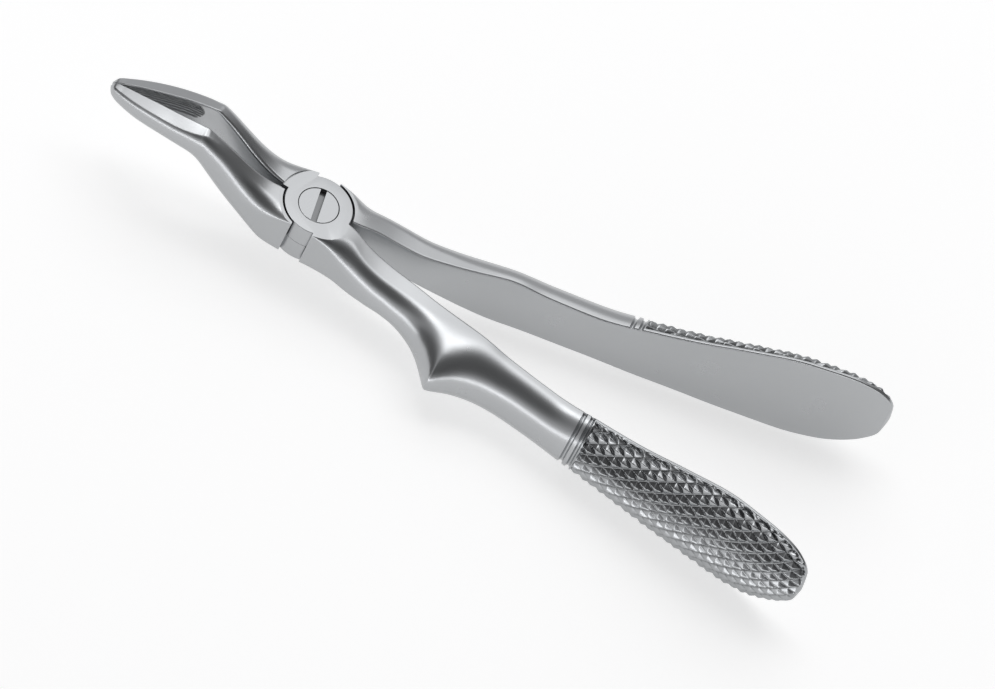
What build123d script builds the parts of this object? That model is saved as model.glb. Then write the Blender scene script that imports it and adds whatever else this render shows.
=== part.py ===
"""Extraction forceps for upper roots: two forged halves that cross in a lap joint on one slotted screw.

Frame, in millimetres: X runs along the instrument, beak tips at -X and handle ends at +X. Y is the
direction in which the handles open. +Z is the pivot axis, towards the screw's head. The origin is on the
pivot axis, in the flat back face of the joint.

The upper half carries the +Y beak and the -Y handle, and its joint plate lies on the screw head's side.
The lower half carries the -Y beak and the +Y handle. Beaks and handles of the two halves mirror each other.
"""

import os
from typing import NamedTuple

from build123d import *

# Joint
PLATE_RADIUS = 7.4  # round joint plate of each half
THICKNESS = 10.0  # whole joint, both plates
MID = THICKNESS / 2  # height of the plane in which the plates slide on each other
SLIDE_GAP = 0.04  # from each plate to that plane
RECESS_RADIUS = 7.8  # the shoulders stand this far out, clear of the other half's plate
COIN_RADIUS = 8.6  # flat round top of a plate, where it runs out into its own neck and shank
EDGE = 0.2  # small rounding of machined edges

# Pivot screw
HEAD_RADIUS = 4.4
HEAD_HEIGHT = 2.2
HEAD_GAP = 0.09  # all round the head, in its counterbore
SLOT_WIDTH = 1.35
SLOT_DEPTH = 1.2
SLOT_ANGLE = 98  # degrees from +X
SHANK_RADIUS = 3.0
SHANK_GAP = 0.04  # running fit in the upper half
THREAD_RADIUS = 2.5  # M5
THREAD_PITCH = 0.8
THREAD_DEPTH = 0.45
THREAD_GAP = 0.02

# Grip rings and beak serration
RING_STATIONS = (68.8, 70.6)
RING_WIDTH = 0.9
RING_DEPTH = 0.45
SERRATION_COUNT = 7
SERRATION_PITCH = 0.6
SERRATION_RADIUS = 0.25
SERRATION_RUNOUT = 0.5  # how far clear of the face each groove's ends are

BEZIER_QUARTER = 0.5523  # handle length that makes a cubic curve follow a quarter of an ellipse


class Station(NamedTuple):
    """One cross-section, square to X. Depths are measured outwards from the XZ plane, heights from MID."""

    x: float
    inner: float  # depth of the inner face
    outer: float  # depth of the outermost point
    bottom: float
    top: float
    upper_round: tuple  # setbacks (along Y, along Z) of the outer upper corner
    lower_round: tuple  # setbacks of the outer lower corner
    edge: float = 0.4  # rounding of the two inner edges
    hollow: float = 0.0  # how far the inner face is hollowed out
    drop: float = 0.0  # how much lower the top is at its outer end


NECK_AND_BEAK = [
    Station(-3.1, 0.3, 7.7, -5.2, 5.4, (1.0, 0.5), (0.8, 0.8)),
    Station(-7.5, 0.4, 7.6, -5.2, 5.5, (4.5, 1.8), (1.0, 1.0)),
    Station(-11.0, 0.75, 7.4, -4.4, 6.0, (5.4, 3.6), (2.5, 2.5), 0.8),
    Station(-16.0, 1.3, 7.0, -2.6, 8.0, (4.4, 4.5), (4.0, 4.0), 1.1),
    Station(-20.8, 1.8, 6.7, 0.4, 10.8, (3.6, 4.5), (3.6, 4.5), 1.1),
    Station(-25.0, 2.3, 6.6, 4.0, 13.3, (3.0, 4.0), (3.2, 4.0), 0.8),
    Station(-28.0, 2.5, 6.5, 6.4, 13.8, (1.8, 3.0), (3.0, 3.0), 0.4, 0.4, 0.6),
    Station(-33.0, 2.3, 6.2, 6.3, 12.9, (1.2, 2.4), (3.0, 3.0), 0.25, 0.8, 1.0),
    Station(-38.0, 1.6, 5.4, 5.9, 11.7, (1.1, 2.2), (2.8, 2.7), 0.25, 0.8, 0.8),
    Station(-43.0, 0.95, 4.2, 5.4, 10.5, (1.0, 1.9), (2.4, 2.3), 0.2, 0.6, 0.6),
    Station(-46.5, 0.4, 2.9, 5.4, 9.6, (0.9, 1.4), (1.9, 1.8), 0.15, 0.3, 0.4),
    Station(-48.6, 0.15, 1.8, 6.1, 8.9, (0.7, 1.0), (1.2, 1.2), 0.12, 0.1, 0.1),
    Station(-49.4, 0.12, 1.1, 6.9, 8.3, (0.6, 0.6), (0.6, 0.6), 0.1),
]

SHANK_AND_GRIP = [
    Station(1.8, 0.2, 7.9, -5.2, 5.25, (0.6, 0.5), (0.8, 0.8)),
    Station(5.0, 0.2, 7.9, -5.2, 5.25, (2.0, 1.6), (1.0, 1.0)),
    Station(9.0, 0.6, 8.1, -5.2, 4.8, (5.5, 3.9), (1.2, 1.0)),
    Station(13.0, 2.0, 9.2, -5.5, 3.9, (6.2, 5.0), (1.8, 1.6)),
    Station(18.0, 2.8, 10.1, -6.3, 2.8, (6.4, 5.0), (3.5, 3.0)),
    Station(24.0, 3.5, 10.7, -7.4, 2.1, (6.4, 4.5), (6.0, 4.4)),
    Station(30.0, 4.9, 11.9, -9.0, 2.2, (6.2, 5.2), (6.2, 5.2)),
    Station(36.5, 6.5, 13.3, -10.6, 2.8, (6.0, 6.2), (6.0, 6.2)),
    Station(42.7, 8.0, 14.4, -11.6, 3.4, (5.8, 7.0), (5.8, 7.0)),
    Station(50.5, 9.3, 16.0, -11.3, 2.4, (6.0, 6.4), (6.0, 6.4)),
    Station(61.9, 11.2, 18.1, -11.3, 2.0, (6.2, 6.2), (6.2, 6.2)),
    Station(72.2, 13.2, 19.9, -11.9, 3.6, (6.0, 7.2), (6.0, 7.2)),
    Station(82.5, 15.3, 21.8, -12.3, 5.7, (5.9, 8.5), (5.9, 8.5)),
    Station(92.8, 17.3, 23.7, -12.7, 8.7, (5.8, 10.2), (5.8, 10.2)),
    Station(105.2, 19.7, 25.8, -12.7, 11.5, (5.5, 11.6), (5.5, 11.6)),
    Station(113.2, 21.5, 26.9, -11.7, 11.6, (4.8, 11.2), (4.8, 11.2)),
    Station(119.2, 22.8, 27.2, -9.0, 10.7, (3.8, 9.4), (3.8, 9.4)),
    Station(122.5, 23.6, 26.8, -6.2, 8.8, (2.6, 7.0), (2.6, 7.0)),
    Station(124.3, 24.1, 26.2, -3.4, 6.2, (1.6, 4.4), (1.6, 4.4), 0.3),
    Station(124.9, 24.3, 25.6, -0.8, 3.7, (0.9, 2.0), (0.9, 2.0), 0.2),
]

# The finger spur's sections, square to Y: depth, nearest and farthest x, half height
SPUR = [
    (10.8, 29.0, 53.0, 5.2),
    (13.0, 30.8, 57.0, 4.9),
    (15.0, 33.2, 54.0, 4.4),
    (16.9, 35.0, 49.5, 3.5),
    (18.3, 36.2, 42.9, 2.3),
    (19.5, 37.1, 40.0, 1.3),
    (20.2, 37.8, 38.8, 0.5),
]
SPUR_HEIGHT = -4.2  # of the spur's middle, from MID


def corner(before, tip, after, setback_before, setback_after):
    """A rounded corner of a section, as the four points of a cubic curve."""
    start = tip + (before - tip).normalized() * setback_before
    end = tip + (after - tip).normalized() * setback_after
    return [
        start,
        start + (tip - start) * BEZIER_QUARTER,
        end + (tip - end) * BEZIER_QUARTER,
        end,
    ]


def outline(station):
    """Draws one section's closed outline in the current BuildLine: four sides and four rounded corners."""
    low, high = station.bottom + MID, station.top + MID
    corners = [
        Vector(station.inner, low),
        Vector(station.inner, high),
        Vector(station.outer, high - station.drop),
        Vector(station.outer, low),
    ]
    setbacks = [
        (station.edge, station.edge),
        (station.edge, station.edge),
        station.upper_round,
        station.lower_round[::-1],
    ]
    curves = []
    for i, (tip, setback) in enumerate(zip(corners, setbacks)):
        curves.append(corner(corners[i - 1], tip, corners[(i + 1) % 4], *setback))
    for curve, following in zip(curves, curves[1:] + curves[:1]):
        Bezier(*curve)
        start, end = curve[-1], following[0]
        if curve is curves[0] and station.hollow:
            bulge = Vector(station.hollow * 4 / 3, 0)
            third = (end - start) / 3
            Bezier(start, start + third + bulge, end - third + bulge, end)
        else:
            Line(start, end)


def across(x):
    """The plane square to X at x, with Y to its right and Z up."""
    return Plane(origin=(x, 0, 0), x_dir=(0, 1, 0), z_dir=(1, 0, 0))


def limb(stations):
    """A forged limb on the +Y side: one smooth loft through its sections."""
    with BuildPart() as body:
        for station in stations:
            with BuildSketch(across(station.x)):
                with BuildLine():
                    outline(station)
                make_face()
        loft()
    return body.part


def finger_spur():
    """The spur on the +Y side, from inside the handle to its small round tip."""
    with BuildPart() as body:
        for depth, near, far, half_height in SPUR:
            middle = ((near + far) / 2, depth, MID + SPUR_HEIGHT)
            with BuildSketch(Plane(origin=middle, x_dir=(1, 0, 0), z_dir=(0, 1, 0))):
                Ellipse((far - near) / 2, half_height)
        loft()
        fillet(body.edges().sort_by(Axis.Y)[-1], 0.4)
    return body.part


def ring_grooves():
    """The two grooves round the handle's outer side, before the grip."""
    inset = [
        station._replace(
            inner=station.inner - 1,
            outer=station.outer - RING_DEPTH,
            bottom=station.bottom + RING_DEPTH,
            top=station.top - RING_DEPTH,
        )
        for station in SHANK_AND_GRIP[9:14]
    ]
    with BuildPart() as body:
        with Locations(*[(x, 16, MID) for x in RING_STATIONS]):
            Box(RING_WIDTH, 20, 40)
        add(limb(inset), mode=Mode.SUBTRACT)
    return body.part


def serrated_beak():
    """Neck and beak on the +Y side, with fine grooves along the hollow face that run out at both ends."""
    reach = NECK_AND_BEAK[6:11]
    with BuildPart() as grooves:
        for i in range(SERRATION_COUNT):
            rise = (i - (SERRATION_COUNT - 1) / 2) * SERRATION_PITCH
            points = []
            for station in reach:
                half = (station.top - station.bottom) / 2
                depth = station.inner + station.hollow * (1 - (rise / half) ** 2)
                if station in (reach[0], reach[-1]):
                    depth -= SERRATION_RUNOUT
                points.append((station.x, depth, MID + station.bottom + half + rise))
            with BuildLine():
                path = Spline(*points)
            with BuildSketch(Plane(origin=path @ 0, z_dir=path % 0)):
                Circle(SERRATION_RADIUS)
            sweep()
    with BuildPart() as body:
        add(limb(NECK_AND_BEAK))
        add(grooves.part, mode=Mode.SUBTRACT)
    return body.part


os.makedirs("parts", exist_ok=True)
beak = serrated_beak()
handle = limb(SHANK_AND_GRIP)
spur = finger_spur()
grooves = ring_grooves()

with BuildPart() as upper_half:
    with BuildSketch(Plane.XY.offset(MID + SLIDE_GAP)):
        Circle(PLATE_RADIUS)
    extrude(amount=MID - SLIDE_GAP)
    fillet(upper_half.edges().group_by(Axis.Z)[-1], EDGE)
    add(beak)
    mirror(handle, about=Plane.XZ)
    mirror(spur, about=Plane.XZ)
    mirror(grooves, about=Plane.XZ, mode=Mode.SUBTRACT)
    # Room for the lower plate
    with BuildSketch(Plane.XY.offset(MID + SLIDE_GAP)):
        Circle(RECESS_RADIUS)
    extrude(amount=-4 * MID, mode=Mode.SUBTRACT)
    # Flat round top, and the same on the back
    with BuildSketch(Plane.XY.offset(THICKNESS), Plane.XY.offset(-MID)):
        Circle(COIN_RADIUS)
    extrude(amount=MID, mode=Mode.SUBTRACT)
    # Counterbore and bore for the screw
    with BuildSketch(Plane.XY.offset(THICKNESS - HEAD_HEIGHT - SLIDE_GAP)):
        Circle(HEAD_RADIUS + HEAD_GAP)
    extrude(amount=MID, mode=Mode.SUBTRACT)
    with BuildSketch(Plane.XY.offset(MID)):
        Circle(SHANK_RADIUS + SHANK_GAP)
    extrude(amount=MID, mode=Mode.SUBTRACT)

with BuildPart() as lower_half:
    with BuildSketch(Plane.XY):
        Circle(PLATE_RADIUS)
    extrude(amount=MID - SLIDE_GAP)
    fillet(lower_half.edges().group_by(Axis.Z)[0], EDGE)
    mirror(beak, about=Plane.XZ)
    add(handle)
    add(grooves, mode=Mode.SUBTRACT)
    # Room for the upper plate
    with BuildSketch(Plane.XY.offset(MID - SLIDE_GAP)):
        Circle(RECESS_RADIUS)
    extrude(amount=4 * MID, mode=Mode.SUBTRACT)
    # Flat round back, and the same on the top
    with BuildSketch(Plane.XY.offset(THICKNESS), Plane.XY.offset(-MID)):
        Circle(COIN_RADIUS)
    extrude(amount=MID, mode=Mode.SUBTRACT)
    # Tapped hole for the screw
    with BuildSketch(Plane.XY):
        Circle(THREAD_RADIUS + THREAD_GAP)
    extrude(amount=MID, mode=Mode.SUBTRACT)

with BuildPart() as pivot_screw:
    with BuildSketch(Plane.XY.offset(THICKNESS - HEAD_HEIGHT)):
        Circle(HEAD_RADIUS)
    extrude(amount=HEAD_HEIGHT)
    fillet(pivot_screw.edges().group_by(Axis.Z)[-1], EDGE)
    with BuildSketch(Plane.XY.offset(MID - SLIDE_GAP)):
        Circle(SHANK_RADIUS)
    extrude(amount=MID - HEAD_HEIGHT + SLIDE_GAP)
    with BuildSketch(Plane.XY):
        Circle(THREAD_RADIUS)
    extrude(amount=MID - SLIDE_GAP)
    # Thread, as a ring groove for each turn
    turns = int((MID - 2 * EDGE) / THREAD_PITCH)
    with BuildSketch(Plane.XZ):
        for turn in range(turns):
            with Locations((THREAD_RADIUS, EDGE + (turn + 0.7) * THREAD_PITCH)):
                RegularPolygon(THREAD_DEPTH, 3, rotation=180)
    revolve(axis=Axis.Z, mode=Mode.SUBTRACT)
    # Screwdriver slot
    with BuildSketch(Plane.XY.offset(THICKNESS - SLOT_DEPTH)):
        Rectangle(3 * HEAD_RADIUS, SLOT_WIDTH, rotation=SLOT_ANGLE)
    extrude(amount=SLOT_DEPTH, mode=Mode.SUBTRACT)

for label, built in (
    ("upper_half", upper_half),
    ("lower_half", lower_half),
    ("pivot_screw", pivot_screw),
):
    built.part.label = label
    export_step(built.part, f"parts/{label}.step")
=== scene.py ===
"""Looks of the extraction forceps: satin stainless halves with knurled grips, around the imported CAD."""

import math

import bmesh
import bpy
import numpy as np
from mathutils import Matrix, Vector


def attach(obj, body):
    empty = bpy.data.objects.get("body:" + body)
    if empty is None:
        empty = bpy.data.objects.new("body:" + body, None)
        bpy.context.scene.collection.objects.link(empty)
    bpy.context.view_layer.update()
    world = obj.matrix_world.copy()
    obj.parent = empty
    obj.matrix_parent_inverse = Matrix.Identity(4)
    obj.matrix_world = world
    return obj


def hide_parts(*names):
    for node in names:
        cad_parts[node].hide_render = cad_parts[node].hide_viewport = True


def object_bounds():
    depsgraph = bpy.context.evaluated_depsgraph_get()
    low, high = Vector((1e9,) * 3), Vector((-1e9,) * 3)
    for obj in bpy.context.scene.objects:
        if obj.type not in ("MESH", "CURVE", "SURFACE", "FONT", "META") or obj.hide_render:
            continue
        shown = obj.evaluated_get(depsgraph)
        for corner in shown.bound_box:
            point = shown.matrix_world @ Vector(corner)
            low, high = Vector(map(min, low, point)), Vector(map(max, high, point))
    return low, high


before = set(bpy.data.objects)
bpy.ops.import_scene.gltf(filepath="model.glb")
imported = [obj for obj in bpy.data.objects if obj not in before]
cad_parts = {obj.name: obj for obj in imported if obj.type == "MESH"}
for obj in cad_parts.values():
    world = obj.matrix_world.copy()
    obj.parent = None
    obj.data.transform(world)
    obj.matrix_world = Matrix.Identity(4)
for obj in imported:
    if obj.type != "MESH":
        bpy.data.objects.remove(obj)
cad_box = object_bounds()

# All shapes are worked out in millimetres and made into metres at the end.
MM = 0.001
MID = 5.0  # height of the plane between the two joint plates
THICKNESS = 10.0
PLATE_RADIUS = 7.4
PLATE_EDGE = 0.2  # rounding of the plates' outer edges
SLIDE_GAP = 0.04
RECESS_RADIUS = 7.8
COIN_RADIUS = 8.6  # round the joint, everything is cut level with the plates up to here
HEAD_RADIUS = 4.4
HEAD_HEIGHT = 2.2
HEAD_GAP = 0.09
BORE_RADIUS = 3.04
THREAD_HOLE_RADIUS = 2.52
ABOVE = 40.0  # a height well past the halves, for cuts that go right through
BELOW = -20.0
WELD = 0.002  # points closer than this are joined after the cuts
JOIN_ANGLE = 0.01  # radians between level faces that are joined
LEVEL = 0.9999  # faces whose normals are this close to Z count as level when they are joined
DEAD_LEVEL = 0.99999  # and this close, they are shaded flat
BEZIER_QUARTER = 0.5523  # handle length that makes a quarter of an ellipse

# Cross-sections, square to X: x, inner, outer, bottom, top, setbacks of the outer upper corner (Y, Z) and
# of the outer lower corner (Y, Z), rounding of the inner edges, depth of the hollow, drop of the outer top.
NECK_AND_BEAK = [
    (-3.1, 0.3, 7.7, -5.2, 5.4, 1.0, 0.5, 0.8, 0.8, 0.4, 0, 0),
    (-7.5, 0.4, 7.6, -5.2, 5.5, 3.6, 2.0, 1.0, 1.0, 0.4, 0, 0.2),
    (-11.0, 0.75, 7.4, -4.4, 6.0, 3.8, 3.4, 2.5, 2.5, 0.8, 0, 0.4),
    (-16.0, 1.3, 7.0, -2.6, 8.0, 3.9, 4.3, 4.0, 4.0, 1.1, 0, 0.2),
    (-20.8, 1.8, 6.7, 0.4, 10.8, 3.6, 4.5, 3.6, 4.5, 1.1, 0, 0),
    (-25.0, 2.3, 6.6, 4.0, 12.8, 2.8, 3.4, 3.2, 4.0, 0.8, 0, 0.15),
    (-26.4, 2.4, 6.56, 5.3, 13.36, 2.5, 3.2, 3.1, 3.5, 0.6, 0.1, 0.4),
    (-27.0, 2.45, 6.53, 5.8, 13.58, 2.2, 3.0, 3.0, 3.2, 0.5, 0.25, 0.7),
    (-27.3, 2.46, 6.52, 6.0, 13.63, 2.1, 2.9, 3.0, 3.1, 0.45, 0.3, 0.85),
    (-27.8, 2.5, 6.5, 6.3, 13.56, 1.8, 2.8, 3.0, 3.0, 0.4, 0.4, 0.95),
    (-33.0, 2.3, 6.2, 6.3, 12.7, 1.2, 2.4, 3.0, 3.0, 0.25, 0.8, 1.1),
    (-38.0, 1.6, 5.4, 5.9, 11.7, 1.1, 2.2, 2.8, 2.7, 0.25, 0.8, 0.8),
    (-43.0, 0.95, 4.2, 5.4, 10.5, 1.0, 1.9, 2.4, 2.3, 0.2, 0.6, 0.6),
    (-46.5, 0.4, 2.9, 5.4, 9.6, 0.9, 1.4, 1.9, 1.8, 0.15, 0.3, 0.4),
    (-48.6, 0.15, 1.8, 6.1, 8.9, 0.7, 1.0, 1.2, 1.2, 0.12, 0.1, 0.1),
    (-49.4, 0.12, 1.1, 6.9, 8.3, 0.6, 0.6, 0.6, 0.6, 0.1, 0, 0),
]
SHANK_AND_GRIP = [
    (1.8, 0.2, 7.9, -5.2, 5.25, 0.6, 0.5, 0.8, 0.8, 0.4, 0, 0),
    (5.0, 0.2, 7.9, -5.2, 5.25, 2.0, 1.6, 1.0, 1.0, 0.4, 0, 0),
    (9.0, 0.6, 8.1, -5.2, 4.8, 5.2, 3.9, 1.2, 1.0, 0.4, 0, 0.1),
    (13.0, 2.0, 9.2, -5.5, 3.9, 3.8, 4.5, 1.8, 1.6, 0.4, 0, 0.6),
    (18.0, 2.8, 10.1, -6.3, 2.8, 3.7, 4.6, 3.5, 3.0, 0.4, 0, 0.7),
    (24.0, 3.5, 10.7, -7.4, 2.1, 4.0, 4.7, 6.0, 4.2, 0.4, 0, 0.7),
    (30.0, 4.9, 11.9, -9.0, 2.2, 4.7, 5.2, 6.2, 5.2, 0.4, 0, 0.6),
    (36.5, 6.5, 13.3, -10.6, 2.8, 5.5, 6.0, 6.0, 6.2, 0.4, 0, 0.4),
    (42.7, 8.0, 14.4, -11.6, 3.4, 5.8, 7.0, 5.8, 7.0, 0.4, 0, 0),
    (50.5, 9.3, 16.0, -11.3, 2.4, 6.0, 6.4, 6.0, 6.4, 0.4, 0, 0),
    (61.9, 11.2, 18.1, -11.3, 2.0, 6.2, 6.2, 6.2, 6.2, 0.4, 0, 0),
    (72.2, 13.2, 19.9, -11.9, 3.6, 6.0, 7.2, 6.0, 7.2, 0.4, 0, 0),
    (82.5, 15.3, 21.8, -12.3, 5.7, 5.9, 8.5, 5.9, 8.5, 0.4, 0, 0),
    (92.8, 17.3, 23.7, -12.7, 8.7, 5.8, 10.2, 5.8, 10.2, 0.4, 0, 0),
    (105.2, 19.7, 25.8, -12.7, 11.5, 5.5, 11.6, 5.5, 11.6, 0.4, 0, 0),
    (113.2, 21.5, 26.9, -11.7, 11.6, 4.8, 11.2, 4.8, 11.2, 0.4, 0, 0),
    (119.2, 22.8, 27.2, -9.0, 10.7, 3.8, 9.4, 3.8, 9.4, 0.4, 0, 0),
    (122.5, 23.6, 26.8, -6.2, 8.8, 2.6, 7.0, 2.6, 7.0, 0.4, 0, 0),
    (124.3, 24.1, 26.2, -3.4, 6.2, 1.6, 4.4, 1.6, 4.4, 0.3, 0, 0),
    (124.9, 24.3, 25.6, -0.8, 3.7, 0.9, 2.0, 0.9, 2.0, 0.2, 0, 0),
]
# The finger spur: x, and how far the handle's outer side is drawn out there
SPUR = [
    (21.0, 0.0),
    (26.0, 0.35),
    (30.0, 1.4),
    (32.5, 3.0),
    (34.4, 4.9),
    (35.6, 6.3),
    (36.4, 7.3),
    (37.0, 7.8),
    (37.8, 7.4),
    (39.4, 6.2),
    (42.0, 4.3),
    (45.5, 2.5),
    (49.5, 1.1),
    (54.0, 0.35),
    (60.0, 0.0),
]
SPUR_SOFTNESS = (0.15, 1.2, 2.6, 4.2)  # blur along the handle, from the tip of the spur up to its root
SPUR_FULLNESS = 1.25  # above 1, the handle's inner part is drawn out less
RING_STATIONS = (68.8, 70.6)  # x of the two ring grooves
RING_WIDTH = 1.0
RING_DEPTH = 0.6
RING_FULLNESS = 2.4  # above 2, the groove's floor is flatter than a parabola's
GROOVE_RAMP = 0.35  # over which rings and knurling fade in
KNURL_ANGLES = (32.1, -34.0)  # degrees between the grooves of each family and the grip's axis
KNURL_SPACINGS = (2.0, 2.6)  # from groove to groove
KNURL_DEPTH = 0.85
KNURL_REACH = 0.48  # of the spacing: how far a groove's flank runs towards the top of a diamond
KNURL_CROWN = 1.15  # above 1, the diamonds are rounded on top
KNURL_STRETCH = 1.02  # length along the grip for each millimetre of X
KNURL_START = 71.3
KNURL_END = (0.1, 1.0)  # from the tip: where the knurling has run out, and where it is full
RIM = 0.75  # plain margin of the grip beside the flat inner face
SERRATION_COUNT = 7
SERRATION_PITCH = 0.6
SERRATION_DEPTH = 0.42
SERRATION_SHARPNESS = 1.5  # above 1, the grooves are narrower than the ridges between them
SERRATION_START = -29.6  # x of the middle ones' ends at the crest
SERRATION_BOW = 1.6  # how much nearer the tip the outermost ones start
SERRATION_END = -47.6
SERRATION_MARGIN = 0.35  # plain margin above and below
SERRATION_SIDE_RAMP = 0.12
SERRATION_START_RAMP = 0.35
SERRATION_END_RAMP = 1.0
BEND = -27.3  # x of the crest between neck and beak, which stays crisp
BEND_CRISP = (0.8, 2.8)  # from the bend: crisp up to the first, blurred from the second
TIP_KEPT = (1.0, 6.0)  # the same from a limb's tip
SECTION_BLUR = 1.3  # blur of the section values along X
BLUR_STEP = 0.1
BEAK_TIP, BEAK_DOME = NECK_AND_BEAK[-1][0], 1.0  # the dome is the stretch that rounds off a tip
GRIP_TIP, GRIP_DOME = SHANK_AND_GRIP[-1][0], 0.7
TIP_GAP = 0.0005  # the last row stops this short of the tip

# Rows of points along a limb: start, end and step of each stretch
BEAK_ROWS = (
    (-3.1, -24.0, 0.3),
    (-24.0, -30.0, 0.12),
    (-30.0, -48.0, 0.22),
    (-48.0, BEAK_TIP + BEAK_DOME, 0.12),
)
SHANK_ROWS = (
    (1.8, 29.0, 0.35),
    (29.0, 47.0, 0.15),
    (47.0, 67.8, 0.45),
    (67.8, RING_STATIONS[1], 0.07),
)
GRIP_ROWS = (
    (RING_STATIONS[1], 72.4, 0.08),
    (72.4, 121.5, 0.17),
    (121.5, GRIP_TIP - GRIP_DOME, 0.1),
)
BEAK_TIP_ROWS = 14
GRIP_TIP_ROWS = 12
# Points round a section: in each inner corner, each outer corner, the inner side, top and bottom, outer side
BEAK_COLUMNS = (10, 26, 84, 14, 16)
SHANK_COLUMNS = (10, 34, 14, 8, 26)
GRIP_COLUMNS = (8, 92, 10, 12, 28)
# Kinds of column, as section_grid numbers them: four corners, then four sides
INNER_CORNERS = (0, 1)
INNER_SIDE = 4
OUTER_SIDE = 6

BODY_CREASE = 24  # degrees between faces from which an edge is drawn sharp
GRIP_CREASE = 50
FLAT_AREA = 6.0  # larger faces of the bodies are shaded flat

HALF_COLOUR, HALF_ROUGHNESS = (0.44, 0.45, 0.46), 0.28
# The grip's colour is darker than the halves' as painted shade over the knurled grip
GRIP_COLOUR, GRIP_ROUGHNESS = (0.38, 0.39, 0.40), 0.20
TONES = (0.96, 1.02)  # darkest and brightest share of the colour
PAINTED_SHADE = 0.45  # share of the colour left where shade is painted: deep in the knurling and on the slot's floor
PAINTED_SHADE_DEPTH = (0.6, 1.0)  # share of the knurling's depth where the painted shade starts, and is full
SLOT_HEIGHTS = (0.0091, 0.0096)  # metres: painted shade on the slot's floor, full below the first height and none above the second
ROUGHER, SMOOTHER = 0.03, 0.025  # most that the smears add to the roughness, and take off
CLOUD = (60, 4)  # noise scale per metre, and detail
SMEAR = (140, 4)
GRAIN = (5200, 2)
GRAIN_STRENGTH = 0.06
GRAIN_HEIGHT = 0.00003  # metres

# Floor, lights and camera, in metres and watts but for the view
FLOOR_GAP = 0.0002
FLOOR_REACH = 6.0
FLOOR_COLOUR = (0.62, 0.62, 0.62, 1)
FLOOR_GLOW = 0.62
FLOOR_ROUGHNESS = 0.9
AIM = (0.035, 0, 0.005)
LIGHTS = (  # name, place, width, length, power
    ("overhead", (-0.10, 0.43, 0.85), 0.95, 0.80, 1.95),
    ("strip", (0.0, 0.27, 0.80), 1.1, 0.16, 0.42),
    ("left", (-0.21, 0.14, 0.82), 0.22, 0.20, 0.28),
)
# Walls of the studio: a direction, the cosines to it where its brightness starts and stops changing, and
# the brightness before and after
FRONT_DARK = ((0.1, -0.5, 0.86), 0.72, 0.94, 0.62, 0.12)
RIGHT_DARK = ((1, 0, 0), 0.30, 0.62, 1.0, 0.3)
LEFT_DARK = ((-1, 0, 0), 0.5, 0.8, 1.0, 0.2)
LOW_STREAK = ((0, 0, 1), 0.05, 0.22, 2.9, 0.0)
FRONT_STREAK = ((0, -1, 0), 0.45, 0.8, 0.0, 1.0)
STUDIO_COLOUR = (0.99, 0.99, 1, 1)
ELEVATION = math.radians(52)
ROLL = math.radians(28.5)
VIEW_WIDTH = 205.155  # mm across the picture, at the object
VIEW_CENTRE = (36.825, 28.68)  # mm to the right of the screw's head, and below it
LENS, SENSOR = 500, 36


def smoothstep(lo, hi, v):
    t = np.clip((v - lo) / (hi - lo), 0, 1)
    return t * t * (3 - 2 * t)


def blur_kernel(blur, step):
    """Weights of a Gaussian blur, for values that stand a step apart."""
    n = int(3.5 * blur / step)
    kernel = np.exp(-0.5 * (np.arange(-n, n + 1) * step / blur) ** 2)
    return kernel / kernel.sum()


def pchip(x, y, q):
    """Smooth interpolation that keeps between neighbouring values."""
    h = np.diff(x)
    d = np.diff(y) / h
    m = np.empty_like(y)
    m[0], m[-1] = d[0], d[-1]
    w1, w2 = 2 * h[1:] + h[:-1], h[1:] + 2 * h[:-1]
    same = d[:-1] * d[1:] > 0
    a, b = np.where(same, d[:-1], 1), np.where(same, d[1:], 1)
    m[1:-1] = np.where(same, (w1 + w2) / (w1 / a + w2 / b), 0)
    k = np.clip(np.searchsorted(x, q) - 1, 0, len(h) - 1)
    t = (q - x[k]) / h[k]
    return (
        y[k] * (1 + 2 * t) * (1 - t) ** 2
        + h[k] * m[k] * t * (1 - t) ** 2
        + y[k + 1] * t * t * (3 - 2 * t)
        + h[k] * m[k + 1] * t * t * (t - 1)
    )


def stations(table, xs):
    """Section values at xs, smoothed along X but for the limb's tip and, in the top, the bend."""
    rows = np.array(sorted(table), float)
    lo, hi = rows[0, 0], rows[-1, 0]
    tip = lo if abs(lo) > abs(hi) else hi
    fine = np.linspace(lo, hi, int((hi - lo) / BLUR_STEP) + 1)
    kernel = blur_kernel(SECTION_BLUR, fine[1] - fine[0])
    n = len(kernel) // 2
    keep = 1 - smoothstep(*TIP_KEPT, np.abs(fine - tip))
    crisp = np.interp(np.abs(fine - BEND), BEND_CRISP, (1, 0))
    top, drop = 4, 11
    out = []
    for k in range(1, rows.shape[1]):
        v = pchip(rows[:, 0], rows[:, k], fine)
        padded = np.concatenate([2 * v[0] - v[n:0:-1], v, 2 * v[-1] - v[-2 : -n - 2 : -1]])
        soft = np.convolve(padded, kernel, "valid")
        kept = np.maximum(keep, crisp) if k in (top, drop) else keep
        out.append(np.interp(xs, fine, kept * v + (1 - kept) * soft))
    return out


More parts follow.
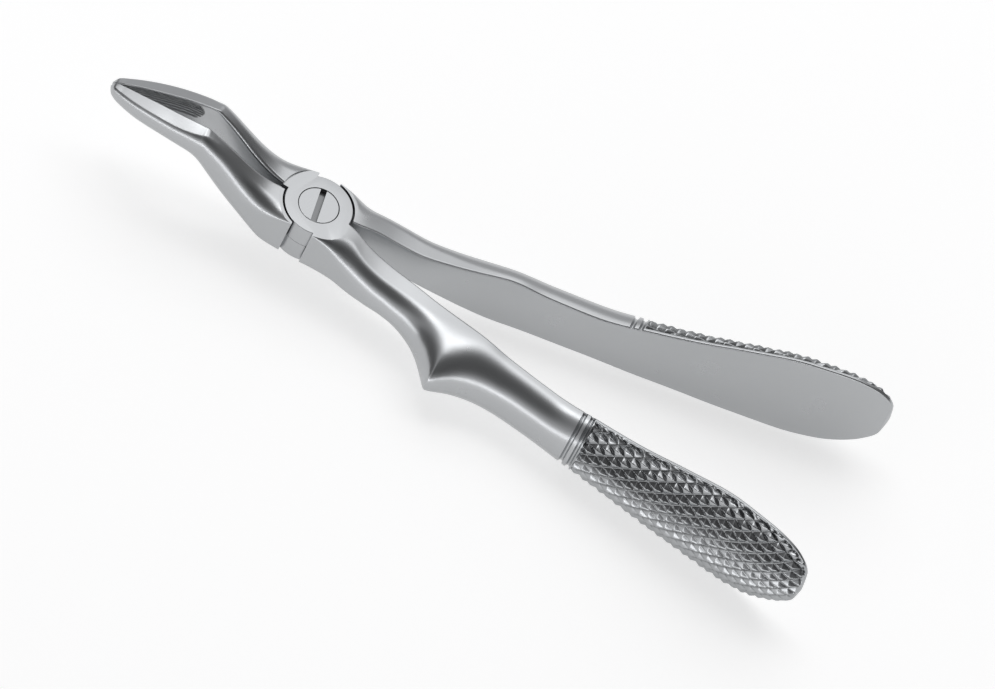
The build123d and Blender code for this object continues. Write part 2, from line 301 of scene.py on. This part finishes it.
def section_grid(table, xs, counts):
    """Points of every section: depth and height, shape (rows, columns, 2), and each column's kind."""
    inner, outer, bottom, top, uy, uz, ly, lz, edge, hollow, drop = stations(table, xs)
    low, high = bottom + MID, top + MID
    tips = [
        np.stack([inner, low], 1),
        np.stack([inner, high], 1),
        np.stack([outer, high - drop], 1),
        np.stack([outer, low], 1),
    ]
    setbacks = [(edge, edge), (edge, edge), (uy, uz), (lz, ly)]
    beziers = []
    for i in range(4):
        tip = tips[i]
        ends = []
        for other, setback in ((tips[i - 1], setbacks[i][0]), (tips[(i + 1) % 4], setbacks[i][1])):
            way = other - tip
            ends.append(tip + way / np.linalg.norm(way, axis=1)[:, None] * setback[:, None])
        s, e = ends
        beziers.append((s, s + (tip - s) * BEZIER_QUARTER, e + (tip - e) * BEZIER_QUARTER, e))
    n_edge, n_round, n_inner, n_flat, n_outer = counts
    n_corner = (n_edge, n_edge, n_round, n_round)
    n_side = (n_inner, n_flat, n_outer, n_flat)
    columns, kinds = [], []
    for i in range(4):
        p = beziers[i]
        for t in np.arange(n_corner[i]) / n_corner[i]:
            columns.append(
                p[0] * (1 - t) ** 3 + 3 * p[1] * t * (1 - t) ** 2 + 3 * p[2] * t * t * (1 - t) + p[3] * t**3
            )
            kinds.append(i)
        a, b = p[3], beziers[(i + 1) % 4][0]
        for t in np.arange(n_side[i]) / n_side[i]:
            point = a + (b - a) * t
            if i == 0:
                point = point + np.stack([hollow * 4 * t * (1 - t), 0 * hollow], 1)
            columns.append(point)
            kinds.append(i + 4)
    return np.stack(columns, 1), np.array(kinds)


def close_end(grid, xs, tip, reach):
    """Rounds the limb off over its last stretch, towards each section's middle."""
    share = np.clip(1 - np.abs(tip - xs) / reach, 0, 1)
    scale = np.sqrt(np.clip(1 - share**2, 0, 1))[:, None, None]
    middle = grid.mean(1, keepdims=True)
    return middle + (grid - middle) * scale


def solid(grid, xs):
    """Grid as 3-D points: shape (rows, columns, 3), on the +Y side."""
    return np.concatenate([np.broadcast_to(xs[:, None, None], grid.shape[:2] + (1,)), grid], 2)


def normals(points):
    """Outward unit normals of a closed ring of columns."""
    along = np.gradient(points, axis=0)
    across = np.roll(points, -1, 1) - np.roll(points, 1, 1)
    n = np.cross(along, across)
    n /= np.linalg.norm(n, axis=2)[..., None] + 1e-12
    middle = points.mean(1, keepdims=True)
    flip = np.sign((n * (points - middle)).sum())
    return n * flip


def grid_mesh(name, points, mirror):
    """Mesh of a closed tube of rings with both ends capped."""
    pts = points.copy()
    if mirror:
        pts[..., 1] *= -1
    rows, cols = pts.shape[:2]
    r, c = np.meshgrid(np.arange(rows - 1), np.arange(cols), indexing="ij")
    c2 = (c + 1) % cols
    quads = np.stack([r * cols + c, r * cols + c2, (r + 1) * cols + c2, (r + 1) * cols + c], -1)
    first = list(range(cols))
    last = list(range((rows - 1) * cols, rows * cols))
    faces = quads.reshape(-1, 4).tolist() + [first[::-1], last]
    mesh = bpy.data.meshes.new(name)
    mesh.from_pydata(pts.reshape(-1, 3).tolist(), [], faces)
    mesh.validate()
    bm = bmesh.new()
    bm.from_mesh(mesh)
    bmesh.ops.recalc_face_normals(bm, faces=bm.faces)
    bm.to_mesh(mesh)
    bm.free()
    return mesh


def turned(name, profile, segments=192):
    """Solid of revolution about Z from (radius, height) points, first and last on the axis."""
    bm = bmesh.new()
    rings = []
    for radius, height in profile:
        if radius == 0:
            rings.append([bm.verts.new((0, 0, height))])
        else:
            rings.append(
                [
                    bm.verts.new((radius * math.cos(a), radius * math.sin(a), height))
                    for a in (2 * math.pi * (k + 0.5) / segments for k in range(segments))
                ]
            )
    for a, b in zip(rings, rings[1:]):
        for k in range(segments):
            j = (k + 1) % segments
            if len(a) == 1:
                bm.faces.new((a[0], b[j], b[k]))
            elif len(b) == 1:
                bm.faces.new((a[k], a[j], b[0]))
            else:
                bm.faces.new((a[k], a[j], b[j], b[k]))
    bmesh.ops.recalc_face_normals(bm, faces=bm.faces)
    mesh = bpy.data.meshes.new(name)
    bm.to_mesh(mesh)
    bm.free()
    return mesh


def cylinder(name, radius, z0, z1):
    return turned(name, [(0, z0), (radius, z0), (radius, z1), (0, z1)])


def combine(base, tools):
    """base mesh after booleans with (operation, mesh) in turn."""
    obj = bpy.data.objects.new("work", base)
    bpy.context.collection.objects.link(obj)
    for operation, mesh in tools:
        tool = bpy.data.objects.new("tool", mesh)
        bpy.context.collection.objects.link(tool)
        modifier = obj.modifiers.new("cut", "BOOLEAN")
        modifier.operation = operation
        modifier.solver = "EXACT"
        modifier.object = tool
        graph = bpy.context.evaluated_depsgraph_get()
        made = bpy.data.meshes.new_from_object(obj.evaluated_get(graph))
        obj.modifiers.clear()
        obj.data = made
        bpy.data.objects.remove(tool)
    made = obj.data
    bpy.data.objects.remove(obj)
    return made


def spread_rows(stretches):
    """Row positions over the stretches."""
    rows = []
    for start, end, step in stretches:
        rows.append(np.linspace(start, end, max(2, int(round(abs(end - start) / step)) + 1))[:-1])
    return np.concatenate(rows + [np.array([stretches[-1][1]])])


def rounded_rows(stretches, tip, count):
    """Row positions over the stretches, then some that crowd towards the limb's rounded tip."""
    start = stretches[-1][1]
    end = tip + math.copysign(TIP_GAP, start - tip)
    crowd = start + (end - start) * np.sin(np.linspace(0, 1, count) * math.pi / 2)
    return np.concatenate([spread_rows(stretches)[:-1], crowd])


def beak_points():
    """Neck and beak on the +Y side, with the serrated hollow."""
    xs = rounded_rows(BEAK_ROWS, BEAK_TIP, BEAK_TIP_ROWS)
    grid, kinds = section_grid(NECK_AND_BEAK, xs, BEAK_COLUMNS)
    grid = close_end(grid, xs, BEAK_TIP, BEAK_DOME)
    inside = kinds == INNER_SIDE
    face = grid[:, inside]
    middle = (face[:, :1, 1] + face[:, -1:, 1]) / 2
    rise = face[..., 1] - middle
    half = SERRATION_COUNT * SERRATION_PITCH / 2
    phase = 0 if SERRATION_COUNT % 2 else 0.5
    wave = (0.5 + 0.5 * np.cos(2 * math.pi * (rise / SERRATION_PITCH + phase))) ** SERRATION_SHARPNESS
    room = (face[:, -1:, 1] - face[:, :1, 1]) / 2
    band = smoothstep(0, SERRATION_SIDE_RAMP, np.minimum(half, room - SERRATION_MARGIN) - np.abs(rise))
    start = SERRATION_START - SERRATION_BOW * (rise / half) ** 2
    begin = smoothstep(0, SERRATION_START_RAMP, start - xs[:, None])
    end = smoothstep(0, SERRATION_END_RAMP, xs[:, None] - SERRATION_END)
    face[..., 0] += SERRATION_DEPTH * wave * band * begin * end
    grid[:, inside] = face
    return solid(grid, xs)


def ring_cut(xs):
    """Depth of the ring grooves at each x."""
    depth = np.zeros_like(xs)
    for x in RING_STATIONS:
        t = np.clip(np.abs(xs - x) / (RING_WIDTH / 2), 0, 1)
        depth = np.maximum(depth, RING_DEPTH * (1 - t**RING_FULLNESS))
    return depth


def outer_share(kinds):
    """0 on the flat inner face, 1 on the rest of the surface."""
    return np.where(kinds == INNER_SIDE, 0.0, 1.0)


def spur_push(xs, room):
    """How far the spur draws the handle out: crisp at its tip, ever softer towards its root."""
    table = np.array(SPUR)
    margin = 20  # more than the widest blur reaches
    fine = np.arange(table[0, 0] - margin, table[-1, 0] + margin, BLUR_STEP)
    height = pchip(table[:, 0], table[:, 1], np.clip(fine, table[0, 0], table[-1, 0]))
    layers = []
    for blur in SPUR_SOFTNESS:
        layers.append(np.interp(xs, fine, np.convolve(height, blur_kernel(blur, BLUR_STEP), "same")))
    layers = np.array(layers)
    level = (1 - room) * (len(layers) - 1)
    low = np.minimum(level.astype(int), len(layers) - 2)
    rows = np.arange(len(xs))[:, None]
    soft = layers[low, rows] * (1 - level + low) + layers[low + 1, rows] * (level - low)
    return soft * room**SPUR_FULLNESS


def shank_points(spur):
    """Handle root and shank on the +Y side, up to the second ring."""
    xs = spread_rows(SHANK_ROWS)
    grid, kinds = section_grid(SHANK_AND_GRIP, xs, SHANK_COLUMNS)
    points = solid(grid, xs)
    n = normals(points)
    depth_in = grid[..., 0] - grid[..., 0].min(1, keepdims=True)
    cut = ring_cut(xs)[:, None] * smoothstep(0.0, GROOVE_RAMP, depth_in) * outer_share(kinds)
    points = points - n * cut[..., None]
    if spur:
        outer = grid[..., 0].max(1, keepdims=True)
        room = np.clip(depth_in / (outer - grid[..., 0].min(1, keepdims=True)), 0, 1)
        points[..., 1] += spur_push(xs, room)
    return points


def grip_points():
    """Knurled grip on the +Y side, from the second ring on, with its columns' kinds and its depths, which
    set the painted shade in the knurling.
    """
    xs = rounded_rows(GRIP_ROWS, GRIP_TIP, GRIP_TIP_ROWS)
    grid, kinds = section_grid(SHANK_AND_GRIP, xs, GRIP_COLUMNS)
    grid = close_end(grid, xs, GRIP_TIP, GRIP_DOME)
    points = solid(grid, xs)
    n = normals(points)
    step = np.linalg.norm(np.diff(points, axis=1), axis=2)
    travel = np.concatenate([np.zeros((len(xs), 1)), np.cumsum(step, 1)], 1)
    outer_columns = np.flatnonzero(kinds == OUTER_SIDE)
    centre_column = outer_columns[len(outer_columns) // 2]
    across = travel - travel[:, centre_column : centre_column + 1]
    along = points[..., 0] * KNURL_STRETCH
    valley = np.zeros_like(across)
    for angle, spacing in zip(KNURL_ANGLES, KNURL_SPACINGS):
        turn = math.radians(angle)
        lines = (across * math.cos(turn) - along * math.sin(turn)) / spacing
        far = np.abs(lines - np.round(lines)) * spacing
        flank = np.clip(1 - far / (KNURL_REACH * spacing), 0, 1)
        valley = np.maximum(valley, KNURL_DEPTH * flank**KNURL_CROWN)
    depth_in = points[..., 1] - points[..., 1].min(1, keepdims=True)
    rim = smoothstep(RIM, RIM + GROOVE_RAMP, depth_in) * outer_share(kinds)
    begin = smoothstep(KNURL_START, KNURL_START + GROOVE_RAMP, xs)[:, None]
    end = smoothstep(*KNURL_END, GRIP_TIP - xs)[:, None]
    cut = valley * rim * begin * end
    ring = ring_cut(xs)[:, None] * smoothstep(0.0, GROOVE_RAMP, depth_in) * outer_share(kinds)
    # Share of the knurling's depth at each point, which paints shade into the grooves
    knurl_shade = np.clip(cut / KNURL_DEPTH, 0, 1)
    return points - n * np.maximum(cut, ring)[..., None], kinds, knurl_shade


def shade(mesh, angle, flat_area):
    """Smooth shading with creases at sharp edges, and level or large faces left flat."""
    smooth = [True] * len(mesh.polygons)
    for p in mesh.polygons:
        if p.area > flat_area or abs(p.normal.z) > DEAD_LEVEL:
            smooth[p.index] = False
    mesh.polygons.foreach_set("use_smooth", smooth)
    mesh.set_sharp_from_angle(angle=math.radians(angle))


def finish_piece(name, mesh, body, node, material):
    """Puts a mesh in the scene in metres, on its body, standing for its CAD node."""
    mesh.transform(Matrix.Scale(MM, 4))
    mesh.name = name
    mesh.materials.clear()
    mesh.materials.append(material)
    obj = bpy.data.objects.new(name, mesh)
    bpy.context.collection.objects.link(obj)
    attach(obj, body)
    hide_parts(node)


def plate(name, z0, z1, rounded_top):
    """Joint plate with its outer edge rounded."""
    e = PLATE_EDGE
    turns = np.linspace(0, math.pi / 2, 6)
    arc = [(PLATE_RADIUS - e + e * math.sin(a), e - e * math.cos(a)) for a in turns]
    if rounded_top:
        profile = [(0, z0), (PLATE_RADIUS, z0)] + [(r, z1 - h) for r, h in arc[::-1]] + [(0, z1)]
    else:
        profile = [(0, z0)] + [(r, z0 + h) for r, h in arc] + [(PLATE_RADIUS, z1), (0, z1)]
    return turned(name, profile)


def join_slivers(mesh):
    """Joins the close points and the level faces that the cuts leave."""
    bm = bmesh.new()
    bm.from_mesh(mesh)
    bmesh.ops.remove_doubles(bm, verts=bm.verts, dist=WELD)
    bmesh.ops.dissolve_degenerate(bm, edges=bm.edges, dist=WELD)
    level = {f for f in bm.faces if abs(f.normal.z) > LEVEL}
    inside = [e for e in bm.edges if len(e.link_faces) == 2 and all(f in level for f in e.link_faces)]
    bmesh.ops.dissolve_limit(bm, angle_limit=JOIN_ANGLE, verts=[], edges=inside)
    bm.to_mesh(mesh)
    bm.free()


def half_mesh(upper):
    """One forged half without its grip."""
    beak = grid_mesh("beak", beak_points(), mirror=not upper)
    shank = grid_mesh("shank", shank_points(upper), mirror=upper)
    if upper:
        disc = plate("disc", MID + SLIDE_GAP, THICKNESS, True)
        recess = cylinder("recess", RECESS_RADIUS, BELOW, MID + SLIDE_GAP)
        holes = [
            cylinder("counterbore", HEAD_RADIUS + HEAD_GAP, THICKNESS - HEAD_HEIGHT - SLIDE_GAP, ABOVE),
            cylinder("bore", BORE_RADIUS, BELOW, ABOVE),
        ]
    else:
        disc = plate("disc", 0, MID - SLIDE_GAP, False)
        recess = cylinder("recess", RECESS_RADIUS, MID - SLIDE_GAP, ABOVE)
        holes = [cylinder("tapped", THREAD_HOLE_RADIUS, BELOW, ABOVE)]
    coin = cylinder("coin", COIN_RADIUS, THICKNESS, ABOVE)
    coin_back = cylinder("coin_back", COIN_RADIUS, BELOW, 0)
    cuts = [("DIFFERENCE", cut) for cut in (recess, coin, coin_back, *holes)]
    mesh = combine(disc, [("UNION", beak), ("UNION", shank)] + cuts)
    join_slivers(mesh)
    return mesh


def fill(node, values):
    """Sets a node's inputs by name or place: an output socket is linked, anything else is the value."""
    for key, value in values.items():
        if isinstance(value, bpy.types.NodeSocket):
            node.id_data.links.new(value, node.inputs[key])
        else:
            node.inputs[key].default_value = value
    return node


def mixed(tree, a, b, factor):
    """Colour between a and b."""
    mix = tree.nodes.new("ShaderNodeMix")
    mix.data_type = "RGBA"
    return fill(mix, {"A": a, "B": b, "Factor": factor}).outputs["Result"]


def span(tree, value, start, end, at_start, at_end, interpolation="LINEAR"):
    """Value brought from start..end to at_start..at_end."""
    ramp = tree.nodes.new("ShaderNodeMapRange")
    ramp.interpolation_type = interpolation
    places = {"From Min": start, "From Max": end, "To Min": at_start, "To Max": at_end, "Value": value}
    return fill(ramp, places).outputs["Result"]


def steel(name, base, rough, groove=False, slot_floor=None):
    """Satin stainless steel: fine blasted grain, faint smears and small changes of roughness; when asked,
    painted shade deep in knurl grooves and on a slot's floor.
    """
    material = bpy.data.materials.new(name)
    material.use_nodes = True
    tree = material.node_tree
    where = tree.nodes.new("ShaderNodeTexCoord")

    def noise(scale, detail):
        texture = tree.nodes.new("ShaderNodeTexNoise")
        places = {"Scale": scale, "Detail": detail, "Vector": where.outputs["Object"]}
        return fill(texture, places).outputs["Fac"]

    def share(part):
        return (*[c * part for c in base], 1)

    colour = mixed(tree, share(TONES[0]), share(TONES[1]), span(tree, noise(*CLOUD), 0, 1, 0, 1))
    # Painted shade: the colour darkens deep in the knurl grooves
    if groove:
        depth = tree.nodes.new("ShaderNodeAttribute")
        depth.attribute_name = "groove"
        shade_mask = span(tree, depth.outputs["Fac"], *PAINTED_SHADE_DEPTH, 0, 1)
        colour = mixed(tree, colour, share(PAINTED_SHADE), shade_mask)
    # Painted shade on the screw slot's floor: darker below a height
    if slot_floor:
        place = fill(tree.nodes.new("ShaderNodeSeparateXYZ"), {"Vector": where.outputs["Object"]})
        shade_mask = span(tree, place.outputs["Z"], *slot_floor, 1, 0)
        colour = mixed(tree, colour, share(PAINTED_SHADE), shade_mask)
    bump = tree.nodes.new("ShaderNodeBump")
    fill(bump, {"Strength": GRAIN_STRENGTH, "Distance": GRAIN_HEIGHT, "Height": noise(*GRAIN)})
    looks = {
        "Metallic": 1.0,
        "Base Color": colour,
        "Roughness": span(tree, noise(*SMEAR), 0, 1, rough - SMOOTHER, rough + ROUGHER),
        "Normal": bump.outputs["Normal"],
    }
    fill(tree.nodes["Principled BSDF"], looks)
    return material


half_steel = steel("satin_steel", HALF_COLOUR, HALF_ROUGHNESS)
grip_steel = steel("grip_steel", GRIP_COLOUR, GRIP_ROUGHNESS, groove=True)
screw_steel = steel("screw_steel", HALF_COLOUR, HALF_ROUGHNESS, slot_floor=SLOT_HEIGHTS)

for node, body, upper in (("upper_half", "upper", True), ("lower_half", "lower", False)):
    mesh = half_mesh(upper)
    shade(mesh, BODY_CREASE, FLAT_AREA)
    finish_piece(node + "_body", mesh, body, node, half_steel)
    points, kinds, knurl_shade = grip_points()
    grip = grid_mesh("grip", points, mirror=upper)
    shade(grip, GRIP_CREASE, math.inf)
    # The knurl depth is stored on the grip for the painted shade in its grooves
    depth = grip.attributes.new("groove", "FLOAT", "POINT")
    depth.data.foreach_set("value", knurl_shade.ravel())
    finish_piece(node + "_grip", grip, body, node, grip_steel)
    # The grip's flat inner face has the halves' steel, and its two end caps the grip's
    grip.materials.append(half_steel)
    rows = len(points) - 1
    plain = np.zeros(len(grip.polygons), np.int32)
    plain[: rows * len(kinds)] = np.tile(np.isin(kinds, (INNER_SIDE, *INNER_CORNERS)), rows)
    grip.polygons.foreach_set("material_index", plain)

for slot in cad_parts["pivot_screw"].material_slots:
    slot.material = screw_steel

# Floor
height = cad_box[0][2] - FLOOR_GAP
corners = [(x * FLOOR_REACH, y * FLOOR_REACH, height) for x, y in ((-1, -1), (1, -1), (1, 1), (-1, 1))]
floor_mesh = bpy.data.meshes.new("floor")
floor_mesh.from_pydata(corners, [], [(0, 1, 2, 3)])
floor = bpy.data.objects.new("floor", floor_mesh)
bpy.context.collection.objects.link(floor)
paper = bpy.data.materials.new("paper")
paper.use_nodes = True
paper_looks = {
    "Base Color": FLOOR_COLOUR,
    "Roughness": FLOOR_ROUGHNESS,
    "Emission Color": (1, 1, 1, 1),
    "Emission Strength": FLOOR_GLOW,
}
fill(paper.node_tree.nodes["Principled BSDF"], paper_looks)
floor_mesh.materials.append(paper)

# Lights, which the camera doesn't see
for name, place, width, length, power in LIGHTS:
    light = bpy.data.lights.new(name, "AREA")
    light.shape = "RECTANGLE"
    light.size = width
    light.size_y = length
    light.energy = power
    lamp = bpy.data.objects.new(name, light)
    bpy.context.collection.objects.link(lamp)
    lamp.location = place
    lamp.rotation_euler = (Vector(AIM) - Vector(place)).to_track_quat("-Z", "Y").to_euler()
    lamp.visible_camera = False

# Studio: grey all round, darker overhead in front and past both ends, with a bright streak low in front
world = bpy.data.worlds.new("studio")
bpy.context.scene.world = world
world.use_nodes = True
studio = world.node_tree
around = studio.nodes.new("ShaderNodeTexCoord")


def wall(direction, start, end, dim, bright):
    """Brightness that goes from dim to bright towards a direction."""
    toward = studio.nodes.new("ShaderNodeVectorMath")
    toward.operation = "DOT_PRODUCT"
    fill(toward, {0: around.outputs["Generated"], 1: direction})
    return span(studio, toward.outputs["Value"], start, end, dim, bright, "SMOOTHSTEP")


def joined(operation, a, b):
    """Two brightnesses multiplied or added."""
    node = studio.nodes.new("ShaderNodeMath")
    node.operation = operation
    return fill(node, {0: a, 1: b}).outputs["Value"]


front_and_right = joined("MULTIPLY", wall(*FRONT_DARK), wall(*RIGHT_DARK))
grey = joined("MULTIPLY", front_and_right, wall(*LEFT_DARK))
streak = joined("MULTIPLY", wall(*LOW_STREAK), wall(*FRONT_STREAK))
fill(studio.nodes["Background"], {"Strength": joined("ADD", grey, streak), "Color": STUDIO_COLOUR})

# Camera: from in front and above, rolled so that the beaks point up to the left
level_right = Vector((1, 0, 0))
level_up = Vector((0, math.sin(ELEVATION), math.cos(ELEVATION)))
back = Vector((0, -math.cos(ELEVATION), math.sin(ELEVATION)))
right = math.cos(ROLL) * level_right + math.sin(ROLL) * level_up
up = -math.sin(ROLL) * level_right + math.cos(ROLL) * level_up
screw_head = Vector((0, 0, THICKNESS * MM))
target = screw_head + right * (VIEW_CENTRE[0] * MM) - up * (VIEW_CENTRE[1] * MM)
distance = VIEW_WIDTH * MM * LENS / SENSOR
camera = bpy.data.cameras.new("camera")
camera.lens = LENS
camera.sensor_width = SENSOR
camera.clip_start = 0.1
camera.clip_end = 50
viewer = bpy.data.objects.new("camera", camera)
bpy.context.collection.objects.link(viewer)
turned_view = Matrix((right, up, back)).transposed().to_4x4()
viewer.matrix_world = Matrix.Translation(target + back * distance) @ turned_view
bpy.context.scene.camera = viewer
bpy.context.scene.view_settings.view_transform = "Standard"
